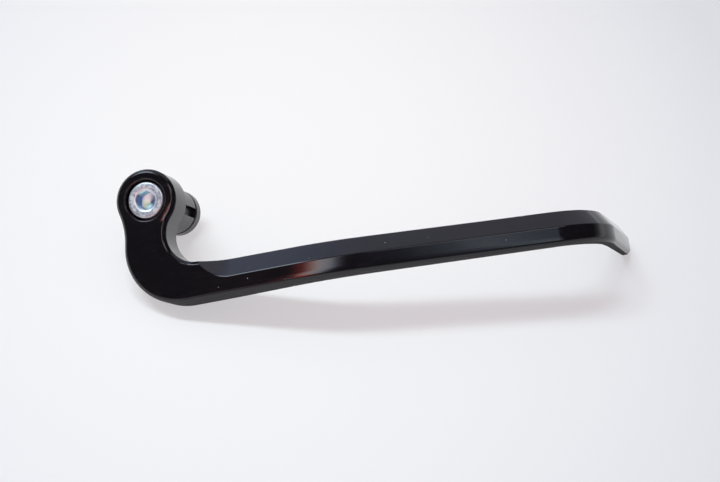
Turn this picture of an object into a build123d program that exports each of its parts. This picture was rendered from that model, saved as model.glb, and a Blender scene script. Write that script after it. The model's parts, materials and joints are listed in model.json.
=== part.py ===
"""Brake lever guard for a motorbike handlebar, with its expanding bar-end insert.

Millimetres. The guard lies as it comes to rest on a table: +Z is up and +X runs
along the blade. The origin is the middle of the eye's back face, on the bolt axis,
where the end of the handlebar meets the guard.
"""

import os
from math import acos, atan2, cos, hypot, radians, sin, sqrt, tan

from build123d import *

# Eye, neck and elbow, seen along the bolt axis
EYE_OD = 22.0
EYE_DEPTH = 12.2
THROAT_R = 10.3
WAIST_R = 25.0
ELBOW_R = 19.8
ELBOW_X = 9.5
BLADE_DROP = 24.6
TAIL_DROP = 26.0
BLADE_HEIGHT = 13.4
FRONT_CHAMFER = 1.1
BACK_CHAMFER = 0.5

# Blade, seen from above: straight, first bend, straight, second bend, tail
ROOT_LENGTH = 45.7
BEND1_R = 81.0
BEND1_ANGLE = 20.9
SPAN_LENGTH = 66.0
BEND2_R = 27.0
BEND2_ANGLE = 66.6
TAIL_LENGTH = 38.0
BACK_FLAT = 25.0
BACK_FLAT_R = 60.0
BEND1_DEPTH = 9.4
BEND2_DEPTH = 4.8
TAIL_DEPTH = 3.5
TAIL_CORNER_R = 3.0

# Bevel along the upper front edge of the blade, with the cutter's run-out
BEVEL_HEIGHT = 7.1
BEVEL_ANGLE = 49.5
TAIL_BEVEL_ANGLE = 29.5
RUNOUT_X = 26.5
RUNOUT_R = 14.3

# Clamp bolt, a hexagon socket cap screw
BOLT_D = 8.0
BOLT_LENGTH = 30.0
HEAD_D = 13.0
HEAD_HEIGHT = 8.0
HEAD_RECESS = 0.5
HEAD_CHAMFER = 0.6
HEX_ACROSS = 6.0
HEX_DEPTH = 4.5
POINT_CHAMFER = 1.0
COUNTERBORE_D = 14.5
COUNTERBORE_CHAMFER = 0.35
BOLT_CLEARANCE = 0.4

# Expander sleeve and cone nut, which go into the bar
INSERT_OD = 16.4
INSERT_CHAMFER = 0.4
SLEEVE_LENGTH = 18.3
SLEEVE_WALL = 2.0
SLOT_WIDTH = 3.5
SLOT_ROOT = 4.0
SLOT_ANGLE = 16.0
DRAW_GAP = 0.8
RIM_LENGTH = 4.7
CONE_LENGTH = 9.0
CONE_ANGLE = 10.0
CONE_CLEARANCE = 0.05
THREAD_CLEARANCE = 0.05

eye_r = EYE_OD / 2
insert_r = INSERT_OD / 2
bolt_hole_r = BOLT_D / 2 + BOLT_CLEARANCE
head_seat = HEAD_HEIGHT + HEAD_RECESS - EYE_DEPTH
blade_bottom = BLADE_DROP + BLADE_HEIGHT
ridge_drop = BLADE_DROP + BEVEL_HEIGHT
rim_start = SLEEVE_LENGTH + DRAW_GAP
rim_end = rim_start + RIM_LENGTH


def toward(start, angle, length):
    """Point at a length from a start, along an angle in degrees."""
    return (start[0] + length * cos(radians(angle)), start[1] + length * sin(radians(angle)))


def between(start, end, distance):
    """Point at a distance from start, on the way to end."""
    share = distance / hypot(end[0] - start[0], end[1] - start[1])
    return (start[0] + (end[0] - start[0]) * share, start[1] + (end[1] - start[1]) * share)


def arc_middle(centre, radius, start, end):
    """Middle point of the shorter arc between two points, or of the longer one for -radius."""
    x = start[0] + end[0] - 2 * centre[0]
    y = start[1] + end[1] - 2 * centre[1]
    scale = radius / hypot(x, y)
    return (centre[0] + x * scale, centre[1] + y * scale)


# Corners of the blade's front and back lines, as (along the blade, into the bar)
full_angle = BEND1_ANGLE + BEND2_ANGLE
bend1_half = radians(BEND1_ANGLE / 2)
bend2_half = radians(BEND2_ANGLE / 2)
bend1_reach = BEND1_R * tan(bend1_half)
bend2_reach = BEND2_R * tan(bend2_half)
front_start = (-EYE_OD, -EYE_DEPTH)
front1 = (ROOT_LENGTH + bend1_reach, -EYE_DEPTH)
front2 = toward(front1, BEND1_ANGLE, bend1_reach + SPAN_LENGTH + bend2_reach)
front3 = toward(front2, full_angle, bend2_reach + TAIL_LENGTH)
back1 = toward(front1, 90 + BEND1_ANGLE / 2, BEND1_DEPTH / cos(bend1_half))
back2 = toward(front2, 90 + BEND1_ANGLE + BEND2_ANGLE / 2, BEND2_DEPTH / cos(bend2_half))
back3 = toward(front3, 90 + full_angle, TAIL_DEPTH)
back_start = (-EYE_OD, 0)
front_radii = (BEND1_R, BEND2_R)
back_radii = (BEND2_R - BEND2_DEPTH, BEND1_R - BEND1_DEPTH, BACK_FLAT_R)

# Centres and tangent points of the side outline, as (along the blade, drop)
eye_c = (0, 0)
throat_c = (sqrt((eye_r + THROAT_R) ** 2 - (BLADE_DROP - THROAT_R) ** 2), BLADE_DROP - THROAT_R)
elbow_c = (ELBOW_X, blade_bottom - ELBOW_R)
eye_side = eye_r + WAIST_R
elbow_side = ELBOW_R + WAIST_R
eye_elbow = hypot(*elbow_c)
waist_turn = acos((eye_side**2 + eye_elbow**2 - elbow_side**2) / (2 * eye_side * eye_elbow))
waist_heading = atan2(elbow_c[1], elbow_c[0]) + waist_turn
waist_c = (eye_side * cos(waist_heading), eye_side * sin(waist_heading))
eye_throat = between(eye_c, throat_c, eye_r)
eye_waist = between(eye_c, waist_c, eye_r)
waist_elbow = between(elbow_c, waist_c, ELBOW_R)
throat_blade = (throat_c[0], BLADE_DROP)
elbow_blade = (ELBOW_X, blade_bottom)
beyond_tail = front3[0] + EYE_OD


def lowest_on_rim(centre, radius, depth, up):
    """Point of a round edge, square to the bolt axis, that lies furthest against up."""
    reach = hypot(up.X, up.Y)
    return Vector(centre[0] - radius * up.X / reach, centre[1] - radius * up.Y / reach, depth)


def table_normal():
    """Normal of the plane on which elbow, insert rim and tail rest, in bolt-axis axes."""
    up = Vector(0, -1, -1)
    tail = Vector(back3[0], blade_bottom - BACK_CHAMFER, back3[1])
    for _ in range(30):
        elbow = lowest_on_rim(elbow_c, ELBOW_R - BACK_CHAMFER, 0, up)
        rim = lowest_on_rim(eye_c, insert_r - INSERT_CHAMFER, rim_end, up)
        up = (tail - elbow).cross(rim - elbow).normalized()
    return up


# Axes of the table, then the plane of the bar's end as it lies above the table
table_up = table_normal()
table_x = (Vector(1, 0, 0) - table_up * table_up.X).normalized()
table_y = table_up.cross(table_x)
BAR = Plane(
    origin=(0, 0, 0),
    x_dir=(table_x.X, table_y.X, table_up.X),
    z_dir=(table_x.Z, table_y.Z, table_up.Z),
)
PLAN = Plane(origin=(0, 0, 0), x_dir=BAR.x_dir, z_dir=-BAR.y_dir)
AXIAL = Plane(origin=(0, 0, 0), x_dir=BAR.x_dir, z_dir=BAR.y_dir)
FACE = Plane(origin=BAR.offset(-EYE_DEPTH).origin, x_dir=BAR.x_dir, z_dir=-BAR.z_dir)

# Section axes of the bevel: x goes into the bar, y up the blade
RIDGE = Plane(
    origin=BAR.from_local_coords((RUNOUT_X, ridge_drop, -EYE_DEPTH)),
    x_dir=BAR.z_dir,
    z_dir=BAR.x_dir,
)
bevel_end = toward(front3, full_angle, BEVEL_HEIGHT)
RIDGE_END = Plane(
    origin=PLAN.offset(-ridge_drop).from_local_coords(bevel_end),
    x_dir=PLAN.from_local_coords(toward((0, 0), 90 + full_angle, 1)),
    z_dir=PLAN.from_local_coords(toward((0, 0), full_angle, 1)),
)
bevel_reach = 2 * BEVEL_HEIGHT
bevel_slope = (sin(radians(BEVEL_ANGLE)), cos(radians(BEVEL_ANGLE)))
runout_axis = RIDGE.from_local_coords(Vector(*bevel_slope)) - RIDGE.origin
runout_centre = RIDGE.from_local_coords((-bevel_slope[1] * RUNOUT_R, bevel_slope[0] * RUNOUT_R))
RUNOUT = Plane(origin=runout_centre - runout_axis * bevel_reach, z_dir=runout_axis)

with BuildLine(PLAN) as front_line:
    FilletPolyline(front_start, front1, front2, front3, radius=front_radii)
with BuildLine(PLAN) as back_line:
    FilletPolyline(back3, back2, back1, (BACK_FLAT, 0), back_start, radius=back_radii)
with BuildLine(PLAN.offset(-ridge_drop)) as ridge_line:
    FilletPolyline(
        (RUNOUT_X, -EYE_DEPTH),
        front1,
        front2,
        bevel_end,
        radius=front_radii,
    )


def outer_edges(solid, line):
    """Edges round the surface that stands on a line, without its seams and the bevelled edge."""
    chosen = []
    for edge in solid.edges():
        place = PLAN.to_local_coords(edge @ 0.5)
        on_line = line.distance_to(PLAN.from_local_coords((place.X, place.Y, 0))) < 0.001
        bevelled = abs(place.Z + BLADE_DROP) < TAIL_CORNER_R and place.X > throat_c[0]
        seam = abs((edge % 0.5).dot(BAR.y_dir)) > 0.999 and place.X < front2[0]
        if on_line and not bevelled and not seam:
            chosen.append(edge)
    return chosen


def is_counterbore_mouth(edge):
    """True for the round edge of the counterbore on the front face."""
    return abs(edge.radius - COUNTERBORE_D / 2) < 0.001 and edge.arc_center == FACE.origin


with BuildPart() as guard_arm:
    with BuildSketch(BAR.offset(-2 * EYE_DEPTH)):
        with BuildLine():
            ThreePointArc(eye_waist, arc_middle(eye_c, -eye_r, eye_waist, eye_throat), eye_throat)
            ThreePointArc(
                eye_throat, arc_middle(throat_c, THROAT_R, eye_throat, throat_blade), throat_blade
            )
            Line(throat_blade, (beyond_tail, TAIL_DROP))
            Line((beyond_tail, TAIL_DROP), (beyond_tail, blade_bottom))
            Line((beyond_tail, blade_bottom), elbow_blade)
            ThreePointArc(
                elbow_blade, arc_middle(elbow_c, ELBOW_R, elbow_blade, waist_elbow), waist_elbow
            )
            ThreePointArc(
                waist_elbow, arc_middle(waist_c, WAIST_R, waist_elbow, eye_waist), eye_waist
            )
        make_face()
    extrude(amount=front3[1] + 3 * EYE_DEPTH)
    with BuildSketch(PLAN.offset(EYE_OD)):
        with BuildLine():
            FilletPolyline(front_start, front1, front2, front3, radius=front_radii)
            Line(front3, back3)
            FilletPolyline(back3, back2, back1, (BACK_FLAT, 0), back_start, radius=back_radii)
            Line(back_start, front_start)
        make_face()
    extrude(amount=-(blade_bottom + 2 * EYE_OD), mode=Mode.INTERSECT)
    tail_end = guard_arm.faces().sort_by(Axis((0, 0, 0), BAR.z_dir))[-1]
    tail_corners = tail_end.edges().sort_by(Axis((0, 0, 0), BAR.y_dir))
    fillet([tail_corners[0], tail_corners[-1]], radius=TAIL_CORNER_R)
    chamfer(outer_edges(guard_arm, front_line.line), length=FRONT_CHAMFER)
    chamfer(outer_edges(guard_arm, back_line.line), length=BACK_CHAMFER)
    for plane, angle in ((RIDGE, BEVEL_ANGLE), (RIDGE_END, TAIL_BEVEL_ANGLE)):
        with BuildSketch(plane):
            Polygon(
                (0, 0),
                (bevel_reach * tan(radians(angle)), bevel_reach),
                (-bevel_reach, bevel_reach),
                (-bevel_reach, 0),
                align=None,
            )
    sweep(path=ridge_line.line, multisection=True, mode=Mode.SUBTRACT)
    with BuildSketch(RUNOUT):
        Circle(RUNOUT_R)
    extrude(amount=2 * bevel_reach, mode=Mode.SUBTRACT)
    with Locations(FACE):
        CounterBoreHole(
            radius=bolt_hole_r,
            counter_bore_radius=COUNTERBORE_D / 2,
            counter_bore_depth=HEAD_HEIGHT + HEAD_RECESS,
            depth=EYE_DEPTH,
        )
    mouth = guard_arm.edges().filter_by(GeomType.CIRCLE).filter_by(is_counterbore_mouth)
    chamfer(mouth, length=COUNTERBORE_CHAMFER)

axis = Axis((0, 0, 0), BAR.z_dir)
taper = CONE_LENGTH * tan(radians(CONE_ANGLE))
mouth_r = insert_r - SLEEVE_WALL
taper_start = SLEEVE_LENGTH - CONE_LENGTH

with BuildPart() as expander_sleeve:
    with BuildSketch(AXIAL):
        with BuildLine():
            Polyline(
                (bolt_hole_r, 0),
                (insert_r, 0),
                (insert_r, -SLEEVE_LENGTH + INSERT_CHAMFER),
                (insert_r - INSERT_CHAMFER, -SLEEVE_LENGTH),
                (mouth_r, -SLEEVE_LENGTH),
                (mouth_r - taper, -taper_start),
                (bolt_hole_r, -taper_start),
                close=True,
            )
        make_face()
    revolve(axis=axis)
    with BuildSketch(BAR.offset(SLOT_ROOT)):
        Rectangle(2 * INSERT_OD, SLOT_WIDTH, rotation=SLOT_ANGLE)
    extrude(amount=SLEEVE_LENGTH, mode=Mode.SUBTRACT)

cone_base_r = mouth_r - CONE_CLEARANCE
thread_r = BOLT_D / 2 + THREAD_CLEARANCE

with BuildPart() as cone_nut:
    with BuildSketch(AXIAL):
        with BuildLine():
            Polyline(
                (thread_r, CONE_LENGTH - rim_start),
                (cone_base_r - taper, CONE_LENGTH - rim_start),
                (cone_base_r, -rim_start),
                (insert_r - INSERT_CHAMFER, -rim_start),
                (insert_r, -rim_start - INSERT_CHAMFER),
                (insert_r, -rim_end + INSERT_CHAMFER),
                (insert_r - INSERT_CHAMFER, -rim_end),
                (thread_r, -rim_end),
                close=True,
            )
        make_face()
    revolve(axis=axis)

with BuildPart() as clamp_bolt:
    with BuildSketch(BAR.offset(head_seat)):
        Circle(HEAD_D / 2)
    extrude(amount=-HEAD_HEIGHT)
    head_top = clamp_bolt.faces().sort_by(axis)[0]
    chamfer(head_top.edges(), length=HEAD_CHAMFER)
    with BuildSketch(BAR.offset(head_seat)):
        Circle(BOLT_D / 2)
    extrude(amount=BOLT_LENGTH)
    point = clamp_bolt.faces().sort_by(axis)[-1]
    chamfer(point.edges(), length=POINT_CHAMFER)
    with BuildSketch(BAR.offset(head_seat - HEAD_HEIGHT)):
        RegularPolygon(radius=HEX_ACROSS / 2, side_count=6, major_radius=False)
    extrude(amount=HEX_DEPTH, mode=Mode.SUBTRACT)

os.makedirs("parts", exist_ok=True)
guard_arm.part.label = "guard_arm"
expander_sleeve.part.label = "expander_sleeve"
cone_nut.part.label = "cone_nut"
clamp_bolt.part.label = "clamp_bolt"
export_step(guard_arm.part, "parts/guard_arm.step")
export_step(expander_sleeve.part, "parts/expander_sleeve.step")
export_step(cone_nut.part, "parts/cone_nut.step")
export_step(clamp_bolt.part, "parts/clamp_bolt.step")

print("table normal in bolt-axis axes:", table_up)
print("bolt axis on the table:", BAR.z_dir)
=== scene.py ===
"""Looks of a brake lever guard for a motorbike handlebar, built round its CAD frame.

The guard lies on a pale table as it comes to rest: a black anodised arm with a bevelled
blade, and a split insert that a zinc-plated screw spreads inside the end of the bar.
Lengths in the classes are millimetres along the axes of the bar's end, meshes are metres
in the row frame.
"""

import json
import logging
from dataclasses import dataclass
from enum import Enum
from math import cos, radians, sin
from typing import Any

import bmesh
import bpy
import numpy as np
from mathutils import Matrix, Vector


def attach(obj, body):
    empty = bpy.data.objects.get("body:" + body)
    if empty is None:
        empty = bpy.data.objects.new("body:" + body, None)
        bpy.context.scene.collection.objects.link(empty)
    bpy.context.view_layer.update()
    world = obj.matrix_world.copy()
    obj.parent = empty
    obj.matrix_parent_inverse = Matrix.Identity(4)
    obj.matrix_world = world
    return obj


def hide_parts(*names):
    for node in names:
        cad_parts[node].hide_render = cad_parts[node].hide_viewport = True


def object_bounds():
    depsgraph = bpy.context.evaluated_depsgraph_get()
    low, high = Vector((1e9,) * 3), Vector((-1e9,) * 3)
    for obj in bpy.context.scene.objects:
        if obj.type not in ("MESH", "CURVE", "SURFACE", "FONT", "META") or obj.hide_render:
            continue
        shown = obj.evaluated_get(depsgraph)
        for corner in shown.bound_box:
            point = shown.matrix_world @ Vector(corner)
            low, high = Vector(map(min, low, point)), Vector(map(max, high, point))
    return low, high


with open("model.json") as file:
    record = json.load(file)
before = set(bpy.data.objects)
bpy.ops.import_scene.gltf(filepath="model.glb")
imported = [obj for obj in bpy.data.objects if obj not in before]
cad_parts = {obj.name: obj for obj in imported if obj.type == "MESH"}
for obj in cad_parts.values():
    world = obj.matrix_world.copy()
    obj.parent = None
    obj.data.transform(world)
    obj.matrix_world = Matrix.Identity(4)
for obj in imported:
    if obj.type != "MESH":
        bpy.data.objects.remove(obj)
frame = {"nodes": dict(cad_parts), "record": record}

MM = 0.001
IMAGE_SIZE = (720, 482)
SENSOR_MM = 36.0
CARD_GRID = (12, 24)
OXIDE_IOR = 1.5
NOISE_SPAN = (0.3, 0.7)
CAD_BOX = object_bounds()

log = logging.getLogger("lever_guard")


def linear(code: str) -> tuple[float, float, float, float]:
    """Turn an sRGB hex colour into linear light.

    Args:
        code: colour as "#rrggbb".

    Returns:
        Linear red, green, blue and an alpha of 1.
    """
    parts = np.array([int(code[i : i + 2], 16) for i in (1, 3, 5)]) / 255
    light = np.where(parts <= 0.04045, parts / 12.92, ((parts + 0.055) / 1.055) ** 2.4)
    return (*light.tolist(), 1.0)


def unit(vector: np.ndarray) -> np.ndarray:
    """Give the vector a length of 1."""
    return vector / np.linalg.norm(vector)


def add_node(
    tree: bpy.types.NodeTree,
    kind: str,
    settings: dict[str | int, Any] | None = None,
    links: dict[str | int, bpy.types.NodeSocket] | None = None,
) -> bpy.types.Node:
    """Add a shader node, set its properties and sockets and link its inputs.

    Args:
        tree: node tree that gets the node.
        kind: Blender's name of the node, without the ShaderNode in front.
        settings: values by property name, or else by input socket name or number.
        links: output sockets by the name or number of the input that they feed.

    Returns:
        The new node.
    """
    node = tree.nodes.new("ShaderNode" + kind)
    for name, value in (settings or {}).items():
        if isinstance(name, str) and name in node.bl_rna.properties:
            setattr(node, name, value)
        else:
            node.inputs[name].default_value = value
    for name, socket in (links or {}).items():
        tree.links.new(socket, node.inputs[name])
    return node


def grid_faces(rows: int, columns: int, wrap: bool) -> np.ndarray:
    """Number the corners of the quads of a grid of points.

    Args:
        rows: points along the first parameter.
        columns: points along the second parameter.
        wrap: whether the last column joins the first.

    Returns:
        One row of four point numbers for each quad.
    """
    across = columns if wrap else columns - 1
    row, column = np.meshgrid(np.arange(rows - 1), np.arange(across), indexing="ij")
    after = (column + 1) % columns
    corners = (
        row * columns + column,
        row * columns + after,
        (row + 1) * columns + after,
        (row + 1) * columns + column,
    )
    return np.stack(corners, axis=-1).reshape(-1, 4)


def make_object(name: str, points: np.ndarray, faces: list[list[int]]) -> bpy.types.Object:
    """Put points and faces into a new mesh object of the scene.

    Args:
        name: name of the object and its mesh.
        points: one row of x, y, z for each point, in metres.
        faces: point numbers of each face.

    Returns:
        The object, at the origin.
    """
    mesh = bpy.data.meshes.new(name)
    mesh.from_pydata(points.tolist(), [], faces)
    mesh.update()
    item = bpy.data.objects.new(name, mesh)
    bpy.context.scene.collection.objects.link(item)
    return item


def read_array(items: Any, name: str, width: int) -> np.ndarray:
    """Read one property of many mesh items at once.

    Args:
        items: vertices, edges, faces or corners of a mesh.
        name: property to read.
        width: numbers in one value of the property.

    Returns:
        One value, or one row of values, for each item.
    """
    values = np.empty(len(items) * width)
    items.foreach_get(name, values)
    return values if width == 1 else values.reshape(-1, width)


def calc(
    tree: bpy.types.NodeTree,
    operation: str,
    first: bpy.types.NodeSocket,
    second: bpy.types.NodeSocket | float,
) -> bpy.types.NodeSocket:
    """Add a Math node.

    Args:
        tree: node tree that gets the node.
        operation: Blender's name of the operation.
        first: socket with the first value.
        second: second value, or the socket with it.

    Returns:
        A socket with the result.
    """
    if isinstance(second, bpy.types.NodeSocket):
        node = add_node(tree, "Math", {"operation": operation}, {0: first, 1: second})
    else:
        node = add_node(tree, "Math", {"operation": operation, 1: second}, {0: first})
    return node.outputs["Value"]


def rescale(
    tree: bpy.types.NodeTree,
    value: bpy.types.NodeSocket,
    source: tuple[float, float],
    target: tuple[float, float] = (0.0, 1.0),
) -> bpy.types.NodeSocket:
    """Add a Map Range node, which stops at both ends.

    Args:
        tree: node tree that gets the node.
        value: socket with the value.
        source: values at the two ends.
        target: results at the two ends.

    Returns:
        A socket with the result.
    """
    names = ("From Min", "From Max", "To Min", "To Max")
    settings = dict(zip(names, (*source, *target)))
    return add_node(tree, "MapRange", settings, {"Value": value}).outputs["Result"]


def noise(
    tree: bpy.types.NodeTree,
    point: bpy.types.NodeSocket,
    size_mm: tuple[float, float, float],
    detail: float,
) -> bpy.types.NodeSocket:
    """Add a noise pattern with spots of a given size.

    Args:
        tree: node tree that gets the nodes.
        point: place along the axes, in metres.
        size_mm: size of the spots along each axis.
        detail: number of finer patterns on top.

    Returns:
        A socket with the pattern, from 0 to 1.
    """
    scale = tuple(1 / (size * MM) for size in size_mm)
    stretched = add_node(tree, "Mapping", {"Scale": scale}, {"Vector": point})
    settings = {"Scale": 1.0, "Detail": detail}
    return add_node(tree, "TexNoise", settings, {"Vector": stretched.outputs[0]}).outputs["Fac"]


def blend(
    tree: bpy.types.NodeTree,
    share: bpy.types.NodeSocket,
    first: bpy.types.NodeSocket | str,
    second: bpy.types.NodeSocket | str,
) -> bpy.types.NodeSocket:
    """Add a Mix node for two colours.

    Args:
        tree: node tree that gets the node.
        share: socket with the second colour's share.
        first: first colour as sRGB hex, or the socket with it.
        second: second colour in the same way.

    Returns:
        A socket with the mixed colour.
    """
    settings, links = {"data_type": "RGBA"}, {0: share}
    for number, colour in ((6, first), (7, second)):
        if isinstance(colour, str):
            settings[number] = linear(colour)
        else:
            links[number] = colour
    return add_node(tree, "Mix", settings, links).outputs[2]


def ramp(
    tree: bpy.types.NodeTree,
    place: bpy.types.NodeSocket,
    stops: list[tuple[float, tuple[float, ...]]],
    stepped: bool = False,
) -> bpy.types.NodeSocket:
    """Add a colour ramp.

    Args:
        tree: node tree that gets the node.
        place: socket with the place on the ramp.
        stops: places from 0 to 1, rising, each with its linear colour.
        stepped: whether each colour stays the same up to the next stop.

    Returns:
        A socket with the colour.
    """
    node = add_node(tree, "ValToRGB", None, {"Fac": place})
    node.color_ramp.interpolation = "CONSTANT" if stepped else "LINEAR"
    elements = node.color_ramp.elements
    while len(elements) < len(stops):
        elements.new(0.5)
    for element, (where, colour) in zip(elements, stops):
        element.position = where
        element.color = (*colour[:3], 1.0)
    return node.outputs["Color"]


def spread(
    codes: tuple[str, ...], start: float, end: float
) -> list[tuple[float, tuple[float, ...]]]:
    """Space colours evenly along a ramp.

    Args:
        codes: sRGB hex colours in order.
        start: place of the first one, from 0 to 1.
        end: place of the last one.

    Returns:
        Stops for a colour ramp.
    """
    places = np.linspace(start, end, len(codes)).tolist()
    return [(place, linear(code)) for place, code in zip(places, codes)]


def off_axis(
    tree: bpy.types.NodeTree, across: bpy.types.NodeSocket, down: bpy.types.NodeSocket
) -> bpy.types.NodeSocket:
    """Add the nodes of the distance from the bolt's axis.

    Args:
        tree: node tree that gets the nodes.
        across: place along the blade.
        down: place down the arm.

    Returns:
        A socket with the distance.
    """
    flat = add_node(tree, "CombineXYZ", None, {"X": across, "Y": down})
    length = add_node(tree, "VectorMath", {"operation": "LENGTH"}, {0: flat.outputs["Vector"]})
    return length.outputs["Value"]


def emboss(
    tree: bpy.types.NodeTree,
    height: bpy.types.NodeSocket,
    depth_mm: float,
    normal: bpy.types.NodeSocket | None = None,
) -> bpy.types.NodeSocket:
    """Add a Bump node.

    Args:
        tree: node tree that gets the node.
        height: socket with the pattern.
        depth_mm: height that a value of 1 stands for. Below 0 the pattern goes inwards.
        normal: socket with the normal that the pattern stands on, or None for the mesh's.

    Returns:
        A socket with the changed normal.
    """
    settings = {"Strength": 1.0, "Distance": abs(depth_mm) * MM, "invert": depth_mm < 0}
    links = {"Height": height} if normal is None else {"Height": height, "Normal": normal}
    return add_node(tree, "Bump", settings, links).outputs["Normal"]


def seen_rays(tree: bpy.types.NodeTree) -> bpy.types.NodeSocket:
    """Tell the rays that show a background, seen, mirrored or through glass, from the others.

    Args:
        tree: node tree that gets the nodes.

    Returns:
        A socket that is 1 for those rays and 0 for light.
    """
    path = add_node(tree, "LightPath").outputs
    mirrored = calc(tree, "MAXIMUM", path["Is Glossy Ray"], path["Is Transmission Ray"])
    return calc(tree, "MAXIMUM", path["Is Camera Ray"], mirrored)


def dress(item: bpy.types.Object, material: bpy.types.Material) -> None:
    """Give every face of an object one material."""
    item.data.materials.clear()
    item.data.materials.append(material)


@dataclass(frozen=True)
class BarAxes:
    """Axes at the bar's end: x along the blade, y down the arm, z into the bar."""

    x: np.ndarray
    y: np.ndarray
    z: np.ndarray

    @classmethod
    def from_record(cls, record: dict[str, Any]) -> "BarAxes":
        """Read the axes from the mount that goes into the bar.

        Args:
            record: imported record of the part.

        Returns:
            Axes of unit length, square to each other.
        """
        mount = next(m for m in record["mounts"] if m["name"] == "bar_insert")
        z = unit(np.array(mount["axis"], float))
        x = unit(np.cross(z, (0.0, 1.0, 0.0)))
        return cls(x, np.cross(z, x), z)

    @property
    def rows(self) -> np.ndarray:
        """The three axes as the rows of a matrix."""
        return np.stack((self.x, self.y, self.z))

    def place(self, points: np.ndarray) -> np.ndarray:
        """Turn points along these axes in millimetres into row-frame metres."""
        return points @ self.rows * MM

    def turn(self) -> tuple[float, float, float]:
        """Angles that a Mapping node needs to read a pattern along these axes."""
        return tuple(Matrix(self.rows.tolist()).to_euler("XYZ"))


class Finish:
    """Base of the finishes: a material with a Principled shader and its pattern axes."""

    name: str

    def start(
        self, axes: BarAxes
    ) -> tuple[bpy.types.Material, bpy.types.Node, bpy.types.NodeSocket]:
        """Make the material with its shader and the turned object coordinates.

        Args:
            axes: axes that the pattern follows.

        Returns:
            The material, the shader and a socket with the place along the axes, in metres.
        """
        material = bpy.data.materials.new(self.name)
        material.use_nodes = True
        tree = material.node_tree
        shader = tree.nodes["Principled BSDF"]
        place = add_node(tree, "TexCoord")
        turned = add_node(
            tree, "Mapping", {"Rotation": axes.turn()}, {"Vector": place.outputs["Object"]}
        )
        return material, shader, turned.outputs["Vector"]


@dataclass(frozen=True)
class Crown:
    """A polished edge: the place where it ends, its width and its fall, in millimetres."""

    edge: float
    width: float
    drop: float


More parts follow.
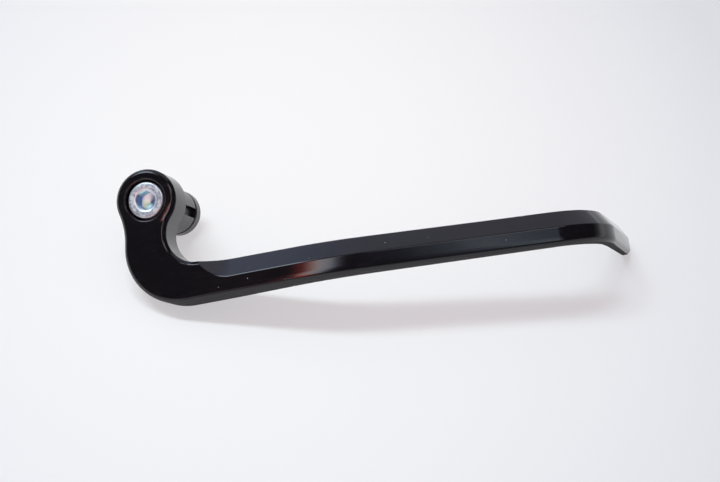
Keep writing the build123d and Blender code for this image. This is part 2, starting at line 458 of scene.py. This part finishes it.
@dataclass(frozen=True)
class BlackAnodised(Finish):
    """Milled aluminium, anodised black.

    The dyed oxide film is clear and hard, so the eye sees a deep black with a sharp gloss
    like lacquer. Fine milling lines run along the blade and fray the edges of reflections,
    fingers leave faint smears and a few grains of dust lie on it. Polishing has crowned the
    front face a little along two outer edges, below the blade and beside the eye, and the
    milled underside is left duller by the side of the cutter.
    """

    name: str = "black_anodised_aluminium"
    colour: str = "#0f0d11"
    line_colour: str = "#201e24"
    dust_colour: str = "#a3a3aa"
    gloss: tuple[float, float] = (0.07, 0.13)
    under_roughness: float = 0.85
    under_facing: tuple[float, float] = (0.8, 0.95)
    line_mm: float = 0.3
    line_length_mm: float = 5.0
    line_depth_mm: float = 0.004
    line_bare: tuple[float, float] = (0.58, 0.78)
    smear_mm: float = 14.0
    smear_span: tuple[float, float] = (0.35, 0.7)
    dust_gap_mm: float = 3.6
    dust_mm: float = 0.34
    dust_share: float = 0.22
    blade_crown: Crown = Crown(edge=36.9, width=1.8, drop=0.17)
    blade_across: tuple[float, float] = (38.0, 50.0)
    eye_crown: Crown = Crown(edge=9.9, width=2.5, drop=0.23)
    eye_across: tuple[float, float] = (4.0, 6.5)
    eye_down: tuple[float, float] = (1.5, 4.5)
    eye_end: tuple[float, float] = (10.5, 8.5)

    def build(self, axes: BarAxes) -> bpy.types.Material:
        """Make the material.

        Args:
            axes: axes that the milling lines follow.

        Returns:
            The finished material.
        """
        material, shader, point = self.start(axes)
        tree = material.node_tree
        shader.inputs["IOR"].default_value = OXIDE_IOR

        # Milling lines, long along the blade and narrow across it
        line_size = (self.line_length_mm, self.line_mm, self.line_length_mm)
        lines = noise(tree, point, line_size, detail=2.0)
        bare = rescale(tree, lines, self.line_bare)
        black = blend(tree, bare, self.colour, self.line_colour)

        # Grains of dust: the middles of a few cells, drawn coarser than real dust to show
        scale = 1 / (self.dust_gap_mm * MM)
        cells = add_node(tree, "TexVoronoi", {"Scale": scale}, {"Vector": point}).outputs
        grain_r = self.dust_mm / 2 / self.dust_gap_mm
        grain = calc(tree, "LESS_THAN", cells["Distance"], grain_r)
        lot = add_node(tree, "SeparateColor", None, {"Color": cells["Color"]})
        chosen = calc(tree, "LESS_THAN", lot.outputs["Red"], self.dust_share)
        dust = calc(tree, "MULTIPLY", grain, chosen)
        colour = blend(tree, dust, black, self.dust_colour)
        tree.links.new(colour, shader.inputs["Base Color"])

        # Smears change the gloss, and faces that look down the arm are dull
        smear = noise(tree, point, (self.smear_mm,) * 3, detail=4.0)
        gloss = rescale(tree, smear, self.smear_span, self.gloss)
        shape = add_node(tree, "NewGeometry")
        facing = add_node(
            tree,
            "VectorMath",
            {"operation": "DOT_PRODUCT", 1: axes.y.tolist()},
            {0: shape.outputs["True Normal"]},
        )
        under = rescale(
            tree, facing.outputs["Value"], self.under_facing, (0.0, self.under_roughness)
        )
        duller = calc(tree, "MAXIMUM", gloss, under)
        rough = calc(tree, "MAXIMUM", duller, dust)
        tree.links.new(rough, shader.inputs["Roughness"])

        normal = emboss(tree, lines, self.line_depth_mm, self.crowned(tree, point))
        tree.links.new(normal, shader.inputs["Normal"])
        return material

    def fall(
        self,
        tree: bpy.types.NodeTree,
        reach: bpy.types.NodeSocket,
        crown: Crown,
        fades: list[tuple[bpy.types.NodeSocket, tuple[float, float]]],
    ) -> bpy.types.NodeSocket:
        """Add the nodes of a crown that falls with the square of the way to its edge.

        Args:
            tree: node tree of the material.
            reach: place on the way to the edge, in metres.
            crown: the edge.
            fades: places, with the millimetres at which the crown has none and all of its fall.

        Returns:
            A socket with the fall, in millimetres.
        """
        way = rescale(tree, reach, ((crown.edge - crown.width) * MM, crown.edge * MM))
        fall = calc(tree, "MULTIPLY", calc(tree, "POWER", way, 2.0), crown.drop)
        for place, (none, whole) in fades:
            share = rescale(tree, place, (none * MM, whole * MM))
            fall = calc(tree, "MULTIPLY", fall, share)
        return fall

    def crowned(
        self, tree: bpy.types.NodeTree, point: bpy.types.NodeSocket
    ) -> bpy.types.NodeSocket:
        """Add the nodes of the crowned edges, below the blade and beside the eye.

        Args:
            tree: node tree of the material.
            point: place along the bar's axes, in metres.

        Returns:
            A socket with the crowned normal.
        """
        apart = add_node(tree, "SeparateXYZ", None, {"Vector": point})
        across, down = apart.outputs["X"], apart.outputs["Y"]
        below_blade = self.fall(tree, down, self.blade_crown, [(across, self.blade_across)])
        beside_eye = self.fall(
            tree,
            off_axis(tree, across, down),
            self.eye_crown,
            [(across, self.eye_across), (down, self.eye_down), (down, self.eye_end)],
        )
        return emboss(tree, calc(tree, "ADD", below_blade, beside_eye), depth_mm=-1.0)


@dataclass(frozen=True)
class TurnedAluminium(Finish):
    """Turned aluminium bar, anodised dark.

    The lathe tool leaves fine rings round the axis, so the satin gloss is a little streaked.
    """

    name: str = "turned_anodised_aluminium"
    colour: str = "#242428"
    gloss: tuple[float, float] = (0.2, 0.38)
    ring_mm: float = 0.3
    ring_length_mm: float = 50.0
    ring_depth_mm: float = 0.006

    def build(self, axes: BarAxes) -> bpy.types.Material:
        """Make the material.

        Args:
            axes: axes of the insert.

        Returns:
            The finished material.
        """
        material, shader, point = self.start(axes)
        tree = material.node_tree
        shader.inputs["Base Color"].default_value = linear(self.colour)
        shader.inputs["IOR"].default_value = OXIDE_IOR
        ring_size = (self.ring_length_mm, self.ring_length_mm, self.ring_mm)
        rings = noise(tree, point, ring_size, detail=3.0)
        gloss = rescale(tree, rings, NOISE_SPAN, self.gloss)
        tree.links.new(gloss, shader.inputs["Roughness"])
        normal = emboss(tree, rings, self.ring_depth_mm)
        tree.links.new(normal, shader.inputs["Normal"])
        return material


@dataclass(frozen=True)
class ZincPlated(Finish):
    """Cold-headed steel, zinc plated and passivated.

    The passivation film is so thin that it shows interference tints, so the bright silver
    turns lavender, blue and straw from place to place. The flat of the head is darker than
    its edges. Each wall of the punched socket is painted with a reflection and shade of its
    own, and the socket's floor with painted shade and reflections.
    """

    head_top: float
    head_seat: float
    socket_r: float
    floor_r: float
    socket_turn: float
    name: str = "zinc_plated_steel"
    silver: str = "#f2f7fa"
    flat_tints: tuple[str, ...] = ("#8a97a1", "#a5b4bc", "#c8d7da")
    flat_span: tuple[float, float] = (0.35, 0.65)
    # Painted reflections and shade, one colour for each wall of the socket
    painted_wall_reflections: tuple[str, ...] = (
        "#dcf6ff",
        "#f2f7fa",
        "#b6bace",
        "#c8e2ea",
        "#d2e8fa",
        "#b2c6fb",
    )
    # Painted shade and reflections on the socket's floor, running round its axis
    painted_floor_shade_and_reflections: tuple[str, ...] = (
        "#c8eaec",
        "#d4f4fa",
        "#8c9fae",
        "#76889a",
        "#a4c8d0",
        "#c0dcb8",
        "#c8eaec",
    )
    flat_skin: float = 0.05
    gloss: tuple[float, float] = (0.36, 0.5)
    tint_mm: float = 1.1
    grain_mm: float = 0.5
    grain_depth_mm: float = 0.004

    def build(self, axes: BarAxes) -> bpy.types.Material:
        """Make the material.

        Args:
            axes: axes of the bolt.

        Returns:
            The finished material.
        """
        material, shader, point = self.start(axes)
        tree = material.node_tree
        shader.inputs["Metallic"].default_value = 1.0

        # The flat is what lies in the skin at the head's top, the socket is inside its radius
        apart = add_node(tree, "SeparateXYZ", None, {"Vector": point}).outputs
        radius = off_axis(tree, apart["X"], apart["Y"])
        flat = calc(tree, "LESS_THAN", apart["Z"], (self.head_top + self.flat_skin) * MM)
        inside = calc(tree, "LESS_THAN", radius, self.socket_r * MM)
        in_head = calc(tree, "LESS_THAN", apart["Z"], self.head_seat * MM)
        socket = calc(tree, "MULTIPLY", inside, in_head)
        on_floor = calc(tree, "LESS_THAN", radius, self.floor_r * MM)

        # The flat of the head is darker than its edges, with tints that wander
        cloud = noise(tree, point, (self.tint_mm,) * 3, detail=2.0)
        darker_flat = ramp(tree, cloud, spread(self.flat_tints, *self.flat_span))
        head = blend(tree, flat, self.silver, darker_flat)

        # Each wall of the socket is painted with a reflection and shade of its own, and the floor's
        # painted shade and reflections run round, from half a wall before the first wall's middle
        walls = len(self.painted_wall_reflections)
        turn = radians(-180 / walls - self.socket_turn)
        facing = add_node(tree, "Mapping", {"Rotation": (0, 0, turn)}, {"Vector": point})
        round_axis = add_node(
            tree, "TexGradient", {"gradient_type": "RADIAL"}, {"Vector": facing.outputs["Vector"]}
        ).outputs["Fac"]
        sides = ramp(tree, round_axis, spread(self.painted_wall_reflections, 0.0, 1 - 1 / walls), stepped=True)
        painted_floor = ramp(tree, round_axis, spread(self.painted_floor_shade_and_reflections, 0.0, 1.0))
        painted_socket = blend(tree, on_floor, sides, painted_floor)
        tree.links.new(blend(tree, socket, head, painted_socket), shader.inputs["Base Color"])

        grain = noise(tree, point, (self.grain_mm,) * 3, detail=3.0)
        gloss = rescale(tree, grain, NOISE_SPAN, self.gloss)
        tree.links.new(gloss, shader.inputs["Roughness"])
        normal = emboss(tree, grain, self.grain_depth_mm)
        tree.links.new(normal, shader.inputs["Normal"])
        return material


@dataclass
class ClampBolt:
    """Hexagon socket cap screw that draws the cone nut into the sleeve."""

    axes: BarAxes
    seat: float = -3.7
    head_r: float = 6.5
    head_height: float = 8.0
    head_round: float = 0.8
    socket_flat_r: float = 3.0
    socket_depth: float = 4.5
    socket_turn: float = 12.0
    socket_mouth_r: float = 4.5
    socket_mouth_round: float = 1.6
    socket_mouth_turn: float = 35.0
    corner: float = 0.1
    corner_share: float = 0.98
    floor_share: float = 0.97
    drill_share: float = 0.8
    drill_depth: float = 0.7
    knurl_teeth: int = 48
    knurl_depth: float = 0.16
    rim: float = 0.3
    ring_gap: float = 0.05
    neck_r: float = 4.5
    neck_gap: float = 0.2
    thread_r: float = 4.0
    thread_pitch: float = 1.25
    thread_depth: float = 0.7
    thread_crest: float = 0.12
    thread_flank: float = 0.66
    thread_start: float = 2.0
    length: float = 30.0
    point_chamfer: float = 1.0
    axis_r: float = 0.001
    sharp_angle: float = 32.0
    columns: int = 192
    arc_rows: int = 7
    flat_rows: int = 6
    knurl_rows: int = 5
    thread_rows: int = 270

    @property
    def head_top(self) -> float:
        """Place of the head's top along the axis."""
        return self.seat - self.head_height

    @property
    def socket_mouth_inner(self) -> float:
        """Radius at which the mouth's arc ends."""
        return self.socket_mouth_r - self.socket_mouth_round * sin(radians(self.socket_mouth_turn))

    @property
    def socket_floor_r(self) -> float:
        """Radius inside which the socket's floor is plain."""
        return self.floor_share * self.socket_flat_r

    def socket_rows(self, turn: np.ndarray, top: float) -> list[tuple[np.ndarray, np.ndarray]]:
        """Rings of the socket, from the drill point up to its mouth.

        The hexagon's radius is the flat's distance over the cosine of the angle to the
        nearest flat, and the mouth is an arc that bends from a cone over it to the head's top.

        Args:
            turn: angle of each column, in radians.
            top: place of the head's top along the axis.

        Returns:
            Radius and axial place of each ring.
        """
        sector = np.pi / 3
        from_flat = np.mod(turn - radians(self.socket_turn) + sector / 2, sector) - sector / 2
        hexagon = self.socket_flat_r / np.cos(from_flat)
        flat = np.ones_like(turn)
        floor = top + self.socket_depth
        arc = np.radians(np.linspace(self.socket_mouth_turn, 0, self.arc_rows))
        reach = self.socket_mouth_r - self.socket_mouth_round * np.sin(arc)
        depth = self.socket_mouth_round * (1 - np.cos(arc))
        mouth = top + depth[0] + np.clip(reach[0] - hexagon, 0, None)
        return [
            (self.axis_r * flat, (floor + self.drill_depth) * flat),
            (self.drill_share * self.socket_flat_r * flat, floor * flat),
            (self.corner_share * hexagon, floor * flat),
            (hexagon, (floor - self.corner) * flat),
            (hexagon, mouth),
            *[(r * flat, (top + d) * flat) for r, d in zip(reach, depth)],
        ]

    def head_rows(self, turn: np.ndarray, top: float) -> list[tuple[np.ndarray, np.ndarray]]:
        """Rings of the head's top, its rounded edge, its knurl and its underside.

        The knurl is a cosine of the angle, cut into the head's side.

        Args:
            turn: angle of each column, in radians.
            top: place of the head's top along the axis.

        Returns:
            Radius and axial place of each ring.
        """
        flat = np.ones_like(turn)
        knurl = self.knurl_depth * (0.5 - 0.5 * np.cos(self.knurl_teeth * turn))
        edge = np.linspace(0, np.pi / 2, self.arc_rows)
        inner = self.head_r - self.head_round
        reach = np.linspace(self.socket_mouth_r + self.ring_gap, inner, self.flat_rows)
        rows = [(r * flat, top * flat) for r in reach]
        rows += [
            (
                (inner + self.head_round * sin(angle)) * flat,
                (top + self.head_round * (1 - cos(angle))) * flat,
            )
            for angle in edge[1:]
        ]
        lower = self.seat - self.rim
        rim_r = self.head_r - self.ring_gap
        upper = top + self.head_round
        for place in np.linspace(upper + self.rim, lower - self.rim, self.knurl_rows):
            rows.append((self.head_r * flat - knurl, place * flat))
        rows.append((rim_r * flat, lower * flat))
        rows.append(((rim_r - self.rim) * flat, self.seat * flat))
        rows.append((self.neck_r * flat, self.seat * flat))
        return rows

    def shank_rows(self, turn: np.ndarray) -> list[tuple[np.ndarray, np.ndarray]]:
        """Rings of the thread and the point.

        The thread is a clipped triangle wave of the axial place over the pitch less the
        turn, faded in below the head and cut off by the cone of the point.

        Args:
            turn: angle of each column, in radians.

        Returns:
            Radius and axial place of each ring.
        """
        flat = np.ones_like(turn)
        end = self.seat + self.length
        places = np.linspace(self.seat + self.neck_gap, end, self.thread_rows)
        phase = places[:, None] / self.thread_pitch - turn[None, :] / (2 * np.pi)
        wave = np.abs(2 * np.mod(phase, 1) - 1)
        cut = np.clip((wave - self.thread_crest) / self.thread_flank, 0, 1)
        fade = np.clip((places - self.seat - self.thread_start) / self.thread_pitch, 0, 1)
        radius = self.thread_r - self.thread_depth * cut * fade[:, None]
        cone = self.thread_r - self.point_chamfer + (end - places)
        radius = np.minimum(radius, cone[:, None])
        rows = [(radius[i], places[i] * flat) for i in range(len(places))]
        rows.append((self.axis_r * flat, end * flat))
        return rows

    def build(self) -> bpy.types.Object:
        """Carry the profile round the axis and make the bolt's mesh.

        Returns:
            The bolt, closed, in the row frame.
        """
        turn = np.arange(self.columns) / self.columns * 2 * np.pi
        top = self.head_top
        rows = self.socket_rows(turn, top) + self.head_rows(turn, top) + self.shank_rows(turn)
        radius = np.stack([row[0] for row in rows])
        place = np.stack([row[1] for row in rows])
        local = np.stack((radius * np.cos(turn), radius * np.sin(turn), place), axis=-1)
        faces = grid_faces(len(rows), self.columns, True)
        points = self.axes.place(local.reshape(-1, 3))
        item = make_object("socket_screw", points, faces.tolist())
        item.data.polygons.foreach_set("use_smooth", np.ones(len(faces), bool))
        item.data.set_sharp_from_angle(angle=radians(self.sharp_angle))
        return item

    def fit(self, material: bpy.types.Material) -> None:
        """Dress the bolt and put it in the place of its CAD node."""
        item = self.build()
        dress(item, material)
        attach(item, "bolt")
        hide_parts("clamp_bolt")
        log.info("socket screw: %d faces", len(item.data.polygons))


@dataclass
class GuardArm:
    """Arm with its eye, neck, elbow and bevelled blade, its edges broken as a maker leaves them."""

    axes: BarAxes
    edge: float = 0.4
    ridge_edge: float = 0.34
    small_edge: float = 0.16
    chamfer_angle: float = 45.0
    chamfer_play: float = 3.0
    weld: float = 0.002
    flat_angle: float = 0.02
    sharp_angle: float = 18.0
    ridge_start: float = 20.0
    ridge_rise: float = 0.3
    face_rise: float = 0.1
    tip_start: float = 70.0
    tip_end: float = 75.5
    bore_r: float = 8.0
    edge_parts: int = 3
    edge_steps: int = 3
    face_weight: int = 100

    def merged(self) -> bpy.types.Mesh:
        """Copy the arm's CAD mesh with its points merged and its flat faces whole.

        Returns:
            A closed mesh.
        """
        mesh = frame["nodes"]["guard_arm"].data.copy()
        solid = bmesh.new()
        solid.from_mesh(mesh)
        bmesh.ops.remove_doubles(solid, verts=solid.verts, dist=self.weld * MM)
        bmesh.ops.dissolve_limit(
            solid, angle_limit=radians(self.flat_angle), verts=solid.verts, edges=solid.edges
        )
        solid.to_mesh(mesh)
        solid.free()
        mesh.name = "milled_arm"
        return mesh

    def sides(self, mesh: bpy.types.Mesh) -> np.ndarray:
        """Read the normals of the two faces at each edge.

        Args:
            mesh: closed mesh, where each edge has two faces.

        Returns:
            Two normals for each edge, along the bar's axes.
        """
        normals = read_array(mesh.polygons, "normal", 3) @ self.axes.rows.T
        corners = read_array(mesh.polygons, "loop_total", 1).astype(int)
        edges = read_array(mesh.loops, "edge_index", 1).astype(int)
        face = np.repeat(np.arange(len(corners)), corners)
        return normals[face[np.argsort(edges, kind="stable")].reshape(-1, 2)]

    def mark_edges(self, mesh: bpy.types.Mesh) -> None:
        """Mark how far each edge is broken, as a share of the largest break.

        The edges of the 45 degree chamfer get the large break, the bevel's ridge its own, and
        the counterbore, the tip and other sharp edges the small one, up to the tip's end. Away
        from the counterbore and the tip, a break is at most a third of the shortest edge at
        either end, so that breaks don't run into each other.

        Args:
            mesh: closed mesh of the arm.
        """
        points = read_array(mesh.vertices, "co", 3) / MM @ self.axes.rows.T
        ends = read_array(mesh.edges, "vertices", 2).astype(int)
        sides = self.sides(mesh)
        bend = np.degrees(np.arccos(np.clip((sides[:, 0] * sides[:, 1]).sum(axis=1), -1, 1)))
        across, down, into = points[ends].mean(axis=1).T
        front = (sides[..., 0] > sides[..., 2]).all(axis=1)
        rise = -sides[..., 1]
        ridge = front & (across > self.ridge_start) & (rise.max(axis=1) > self.ridge_rise)
        ridge &= np.abs(rise).min(axis=1) < self.face_rise
        plain = (np.hypot(across, down) < self.bore_r) | (into > self.tip_start)
        chamfer = (np.abs(bend - self.chamfer_angle) < self.chamfer_play) & ~plain
        width = np.where(chamfer, self.edge, self.small_edge)
        width = np.where(ridge & ~plain, self.ridge_edge, width)
        width[(bend < self.sharp_angle) | (into > self.tip_end)] = 0
        length = np.linalg.norm(points[ends[:, 0]] - points[ends[:, 1]], axis=1)
        shortest = np.full(len(points), np.inf)
        np.minimum.at(shortest, ends.ravel(), np.repeat(length, 2))
        limit = np.where(plain, np.inf, shortest[ends].min(axis=1) / self.edge_parts)
        width = np.minimum(width, limit)
        marks = mesh.attributes.new("bevel_weight_edge", "FLOAT", "EDGE")
        marks.data.foreach_set("value", width / self.edge)

    def build(self) -> bpy.types.Object:
        """Make the arm's mesh and break its sharp edges.

        Returns:
            The arm, in the row frame.
        """
        mesh = self.merged()
        self.mark_edges(mesh)
        item = bpy.data.objects.new("milled_arm", mesh)
        bpy.context.scene.collection.objects.link(item)
        mesh.polygons.foreach_set("use_smooth", np.ones(len(mesh.polygons), bool))
        bevel = item.modifiers.new("edge_break", "BEVEL")
        bevel.width = self.edge * MM
        bevel.segments = self.edge_steps
        bevel.limit_method = "WEIGHT"
        bevel.use_clamp_overlap = False
        normals = item.modifiers.new("flat_faces", "WEIGHTED_NORMAL")
        normals.weight = self.face_weight
        normals.mode = "FACE_AREA"
        return item

    def fit(self, material: bpy.types.Material) -> None:
        """Dress the arm and put it in the place of its CAD node."""
        item = self.build()
        dress(item, material)
        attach(item, "guard")
        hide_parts("guard_arm")
        log.info("milled arm: %d faces before the edge break", len(item.data.polygons))


@dataclass
class Insert:
    """Split sleeve and cone nut that go into the bar."""

    def fit(self, material: bpy.types.Material) -> None:
        """Dress the CAD nodes of the sleeve and the nut."""
        for node in ("expander_sleeve", "cone_nut"):
            dress(frame["nodes"][node], material)
            log.info("%s dressed", node)


@dataclass(frozen=True)
class CardLight:
    """A bright patch of the room: where it stands in degrees, and its light across it.

    Azimuth 0 is in front of the guard and grows towards the blade's tip. Each stop of the
    light is an azimuth with the linear colour there.
    """

    name: str
    distance: float
    elevation: tuple[float, float]
    light: tuple[tuple[float, tuple[float, float, float]], ...]


class Card(Enum):
    """Bright things in the room that the glossy black shows."""

    LAMP = CardLight(
        "lamp_card",
        5.0,
        (36.0, 72.0),
        (
            (-42.0, (0.05, 0.03, 0.03)),
            (-34.8, (1.6, 0.25, 0.2)),
            (-29.0, (4.0, 2.4, 2.2)),
            (-24.7, (4.2, 3.8, 3.9)),
            (-15.4, (2.6, 2.8, 3.2)),
            (-11.0, (0.9, 0.9, 1.1)),
            (-6.0, (0.15, 0.15, 0.2)),
        ),
    )
    GLOW = CardLight(
        "glow_card",
        5.1,
        (23.0, 37.0),
        (
            (-29.0, (2.0, 0.6, 0.5)),
            (-26.0, (5.5, 1.0, 0.7)),
            (-16.0, (5.5, 0.9, 0.6)),
            (-12.0, (0.8, 0.2, 0.15)),
        ),
    )
    SHELF = CardLight(
        "shelf_card",
        5.2,
        (12.0, 33.0),
        ((-45.0, (1.4, 1.3, 1.4)), (-30.0, (1.9, 1.7, 1.8))),
    )
    WINDOW = CardLight(
        "window_card",
        5.0,
        (40.0, 75.0),
        (
            (22.0, (0.05, 0.05, 0.08)),
            (24.0, (0.11, 0.12, 0.18)),
            (26.0, (0.25, 0.31, 0.42)),
            (28.0, (0.62, 0.78, 0.95)),
            (29.5, (1.3, 1.6, 1.75)),
            (31.0, (1.2, 1.35, 1.6)),
            (32.5, (0.66, 0.76, 0.98)),
            (37.5, (0.42, 0.5, 0.68)),
            (39.0, (0.12, 0.12, 0.16)),
        ),
    )
    SKY = CardLight(
        "sky_card",
        5.0,
        (42.0, 62.0),
        ((-135.0, (4.5, 5.0, 5.6)), (-62.0, (4.5, 5.0, 5.6))),
    )
    SKYLIGHT = CardLight(
        "skylight_card",
        5.0,
        (64.0, 84.0),
        ((30.0, (2.8, 3.0, 3.2)), (80.0, (2.8, 3.0, 3.2))),
    )
    BACK = CardLight(
        "back_wall_card",
        5.5,
        (6.0, 70.0),
        (
            (140.0, (0.45, 0.46, 0.5)),
            (165.0, (0.56, 0.57, 0.67)),
            (183.0, (0.54, 0.55, 0.66)),
            (190.0, (0.5, 0.52, 0.66)),
            (205.0, (0.52, 0.6, 0.82)),
            (236.0, (0.68, 0.77, 1.02)),
        ),
    )


@dataclass
class Studio:
    """Pale table, lamp, bright cards, room and camera. Lengths are metres, apart from the mm ones."""

    axes: BarAxes
    floor_level: float
    focal_px: float = 1789.0
    camera_mm: tuple[float, float, float] = (201.80, 123.29, -591.56)
    camera_right: tuple[float, float, float] = (0.95948, 0.15157, 0.23755)
    camera_down: tuple[float, float, float] = (-0.18361, 0.97577, 0.11903)
    table_half: float = 4.0
    card_strength: float = 6.0
    card_centre_mm: tuple[float, float, float] = (63.0, 31.0, -8.0)
    lamp_place: tuple[float, float, float] = (-0.4, -0.14, 1.2)
    lamp_size: tuple[float, float] = (0.8, 0.17)
    lamp_watts: float = 11.2
    lamp_tint: str = "#eaffff"
    fill: float = 0.43
    fill_tint: str = "#ffe6ea"
    fill_lean: tuple[float, float, float] = (-0.55, -0.5, 0.4)
    backdrop: tuple[tuple[float, float], ...] = (
        (0.0, 1.0),
        (0.07, 1.0),
        (0.13, 0.46),
        (0.22, 0.2),
        (0.3, 0.04),
    )
    backdrop_lean: float = 0.2
    room_tint: str = "#f4f7ff"
    # A painted pool of light on the paper: its brightest place, its reach, how much it falls and its
    # tint as it falls
    painted_light_centre: tuple[float, float] = (0.045, 0.07)
    painted_light_reach: tuple[float, float] = (0.45, 0.69)
    painted_falloff: float = 0.18
    floor_colour: str = "#f9f9fb"
    painted_falloff_tint: tuple[float, float, float] = (0.97, 1.005, 1.035)
    floor_glow: float = 0.5
    floor_roughness: float = 0.9
    floor_shine: float = 0.1

    def camera(self) -> None:
        """Put the camera where the photograph was taken from."""
        right = unit(np.array(self.camera_right) @ self.axes.rows)
        down = unit(np.array(self.camera_down) @ self.axes.rows)
        away = np.cross(right, down)
        matrix = np.eye(4)
        matrix[:3, :3] = np.stack((right, -down, -away), axis=1)
        matrix[:3, 3] = self.axes.place(np.array(self.camera_mm))
        data = bpy.data.cameras.new("camera")
        data.sensor_width = SENSOR_MM
        data.lens = self.focal_px * SENSOR_MM / IMAGE_SIZE[0]
        item = bpy.data.objects.new("camera", data)
        item.matrix_world = Matrix(matrix.tolist())
        bpy.context.scene.collection.objects.link(item)
        bpy.context.scene.camera = item

    def table(self) -> None:
        """Lay the pale table under the guard, with a painted pool of light on it."""
        corners = np.full((4, 3), self.floor_level)
        corners[:, :2] = self.table_half * np.array([(-1, -1), (1, -1), (1, 1), (-1, 1)])
        item = make_object("table", corners, [[0, 1, 2, 3]])
        material = bpy.data.materials.new("white_paper")
        material.use_nodes = True
        tree = material.node_tree
        shader = tree.nodes["Principled BSDF"]
        place = add_node(tree, "TexCoord")
        reach = np.array(self.painted_light_reach)
        centred = add_node(
            tree,
            "Mapping",
            {
                "Location": (*(-np.array(self.painted_light_centre) / reach), 0.0),
                "Scale": (*(1 / reach), 0.0),
            },
            {"Vector": place.outputs["Object"]},
        )
        away = add_node(
            tree,
            "VectorMath",
            {"operation": "DOT_PRODUCT"},
            {0: centred.outputs["Vector"], 1: centred.outputs["Vector"]},
        )
        # Painted pool of light: the paper's colour is painted dimmer by the square of the way from
        # its brightest place, and a little bluer as it dims
        pale = np.array(linear(self.floor_colour)[:3])
        falloff_colour = (1 - self.painted_falloff) * pale * np.array(self.painted_falloff_tint)
        stops = [(0.0, tuple(pale)), (self.painted_falloff, tuple(falloff_colour))]
        shade = ramp(tree, away.outputs["Value"], stops)
        tree.links.new(shade, shader.inputs["Base Color"])
        shader.inputs["Roughness"].default_value = self.floor_roughness
        shader.inputs["Specular IOR Level"].default_value = self.floor_shine
        glow = add_node(tree, "Emission", {"Strength": 1.0}, {"Color": shade})
        share = calc(tree, "MULTIPLY", seen_rays(tree), self.floor_glow)
        whole = add_node(
            tree,
            "MixShader",
            None,
            {"Fac": share, 1: shader.outputs["BSDF"], 2: glow.outputs["Emission"]},
        )
        end = tree.nodes["Material Output"]
        tree.links.new(whole.outputs["Shader"], end.inputs["Surface"])
        dress(item, material)

    def card(self, card: CardLight) -> None:
        """Hang a bright card, a piece of a sphere, that only reflections show.

        Args:
            card: its place and light.
        """
        start, end = card.light[0][0], card.light[-1][0]
        azimuth, elevation = np.meshgrid(
            np.radians(np.linspace(start, end, CARD_GRID[1])),
            np.radians(np.linspace(*card.elevation, CARD_GRID[0])),
            indexing="xy",
        )
        away = np.stack(
            (
                np.sin(azimuth) * np.cos(elevation),
                -np.cos(azimuth) * np.cos(elevation),
                np.sin(elevation),
            ),
            axis=-1,
        )
        centre = self.axes.place(np.array(self.card_centre_mm))
        points = centre + card.distance * away.reshape(-1, 3)
        item = make_object(card.name, points, grid_faces(*CARD_GRID, False).tolist())
        across = np.tile(np.linspace(0, 1, CARD_GRID[1]), CARD_GRID[0])
        item.data.attributes.new("across", "FLOAT", "POINT").data.foreach_set("value", across)
        material = bpy.data.materials.new(card.name)
        material.use_nodes = True
        tree = material.node_tree
        tree.nodes.clear()
        place = add_node(tree, "Attribute", {"attribute_name": "across"})
        stops = [
            ((turn - start) / (end - start), tuple(np.array(light) / self.card_strength))
            for turn, light in card.light
        ]
        colours = ramp(tree, place.outputs["Fac"], stops)
        light = add_node(tree, "Emission", {"Strength": self.card_strength}, {"Color": colours})
        add_node(tree, "OutputMaterial", None, {"Surface": light.outputs["Emission"]})
        dress(item, material)
        item.visible_camera = False
        item.visible_diffuse = False
        item.visible_shadow = False

    def lamps(self) -> None:
        """Hang the long lamp over the table, to the left of the guard."""
        data = bpy.data.lights.new("overhead_lamp", "AREA")
        data.shape = "RECTANGLE"
        data.size, data.size_y = self.lamp_size
        data.energy = self.lamp_watts
        data.color = linear(self.lamp_tint)[:3]
        item = bpy.data.objects.new("overhead_lamp", data)
        item.location = self.lamp_place
        item.visible_glossy = False
        bpy.context.scene.collection.objects.link(item)

    def world(self) -> None:
        """Light the room: a fill that leans to the front left, and what can be seen of it.

        The camera and reflections see a white backdrop up to a little over the horizon,
        higher behind the guard than before it, and a dark ceiling above.
        """
        world = bpy.data.worlds.new("room")
        bpy.context.scene.world = world
        world.use_nodes = True
        tree = world.node_tree
        tree.nodes.clear()
        place = add_node(tree, "TexCoord")
        height = add_node(
            tree,
            "VectorMath",
            {"operation": "DOT_PRODUCT", 1: (0.0, -self.backdrop_lean, 1.0)},
            {0: place.outputs["Generated"]},
        )
        tint = np.array(linear(self.room_tint))
        stops = [(where, tuple(light * tint)) for where, light in self.backdrop]
        backdrop = ramp(tree, height.outputs["Value"], stops)
        seen = add_node(tree, "Background", {"Strength": 1.0}, {"Color": backdrop})
        side = add_node(
            tree,
            "VectorMath",
            {"operation": "DOT_PRODUCT", 1: self.fill_lean},
            {0: place.outputs["Generated"]},
        )
        strength = add_node(
            tree,
            "Math",
            {"operation": "MULTIPLY_ADD", 1: self.fill, 2: self.fill},
            {0: side.outputs["Value"]},
        )
        fill = add_node(
            tree,
            "Background",
            {"Color": linear(self.fill_tint)},
            {"Strength": strength.outputs["Value"]},
        )
        whole = add_node(
            tree,
            "MixShader",
            None,
            {"Fac": seen_rays(tree), 1: fill.outputs["Background"], 2: seen.outputs["Background"]},
        )
        add_node(tree, "OutputWorld", None, {"Surface": whole.outputs["Shader"]})

    def build(self) -> None:
        """Set up the whole studio."""
        self.camera()
        self.table()
        for card in Card:
            self.card(card.value)
        self.lamps()
        self.world()
        bpy.context.scene.view_settings.view_transform = "Standard"
        log.info("studio ready")


def main() -> None:
    """Build the guard's pieces in order and set up the studio."""
    logging.basicConfig(level=logging.INFO)
    axes = BarAxes.from_record(frame["record"])
    GuardArm(axes).fit(BlackAnodised().build(axes))
    Insert().fit(TurnedAluminium().build(axes))
    bolt = ClampBolt(axes)
    zinc = ZincPlated(
        bolt.head_top,
        bolt.seat,
        bolt.socket_mouth_inner,
        bolt.socket_floor_r,
        bolt.socket_turn,
    )
    bolt.fit(zinc.build(axes))
    Studio(axes, floor_level=CAD_BOX[0].z).build()


if __name__ == "__main__":
    main()
